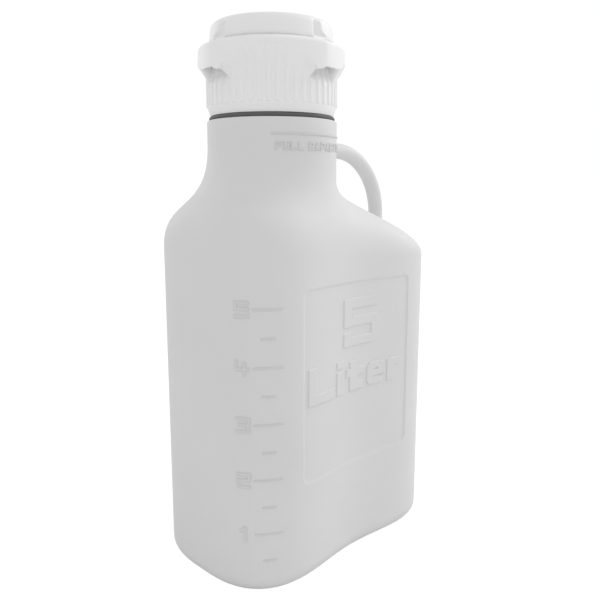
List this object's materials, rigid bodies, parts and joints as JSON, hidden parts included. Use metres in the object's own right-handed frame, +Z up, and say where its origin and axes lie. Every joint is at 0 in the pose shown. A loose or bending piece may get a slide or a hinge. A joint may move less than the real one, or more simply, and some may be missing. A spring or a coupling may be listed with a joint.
{
  "type": "wide-mouth jug",
  "caption": "Wide-mouth plastic jug with a waisted rectangular body, loop handle, moulded litre scale, recessed label panels and a ribbed screw collar holding a closed cap insert",
  "frame": {"origin": "centre of the base, on the surface the jug stands on", "axes": "+Z up, -Y front where the neck stands, +Y back where the handle comes down, +X the side with the litre scale and capacity panel"},
  "size_m": [0.1326, 0.2168, 0.4132],
  "materials": {
    "bottle_plastic": "blow-moulded natural white polyethylene, matte with a faint waxy sheen",
    "cap_plastic": "injection-moulded white polypropylene, satin",
    "gasket_rubber": "translucent white silicone",
    "ring_rubber": "dark grey elastomer"
  },
  "bodies": {
    "jug": {"bottle": "bottle_plastic", "neck_ring": "ring_rubber"},
    "insert": {"cap_insert": "cap_plastic", "cap_gasket": "gasket_rubber"},
    "collar": {"cap_collar": "cap_plastic"}
  },
  "joints": [
    {"name": "cap_lift", "type": "slide", "parent": "jug", "child": "insert", "axis": [0, 0, 1], "range_m": [0, 0.012]},
    {"name": "cap_turn", "type": "hinge", "parent": "insert", "child": "collar", "pos_m": [0, -0.028, 0.37], "axis": [0, 0, 1], "range_deg": [0, 720]}
  ],
  "couplings": [
    {"joint": "cap_lift", "follows": "cap_turn", "m_per_rad": 0.00095493}
  ]
}
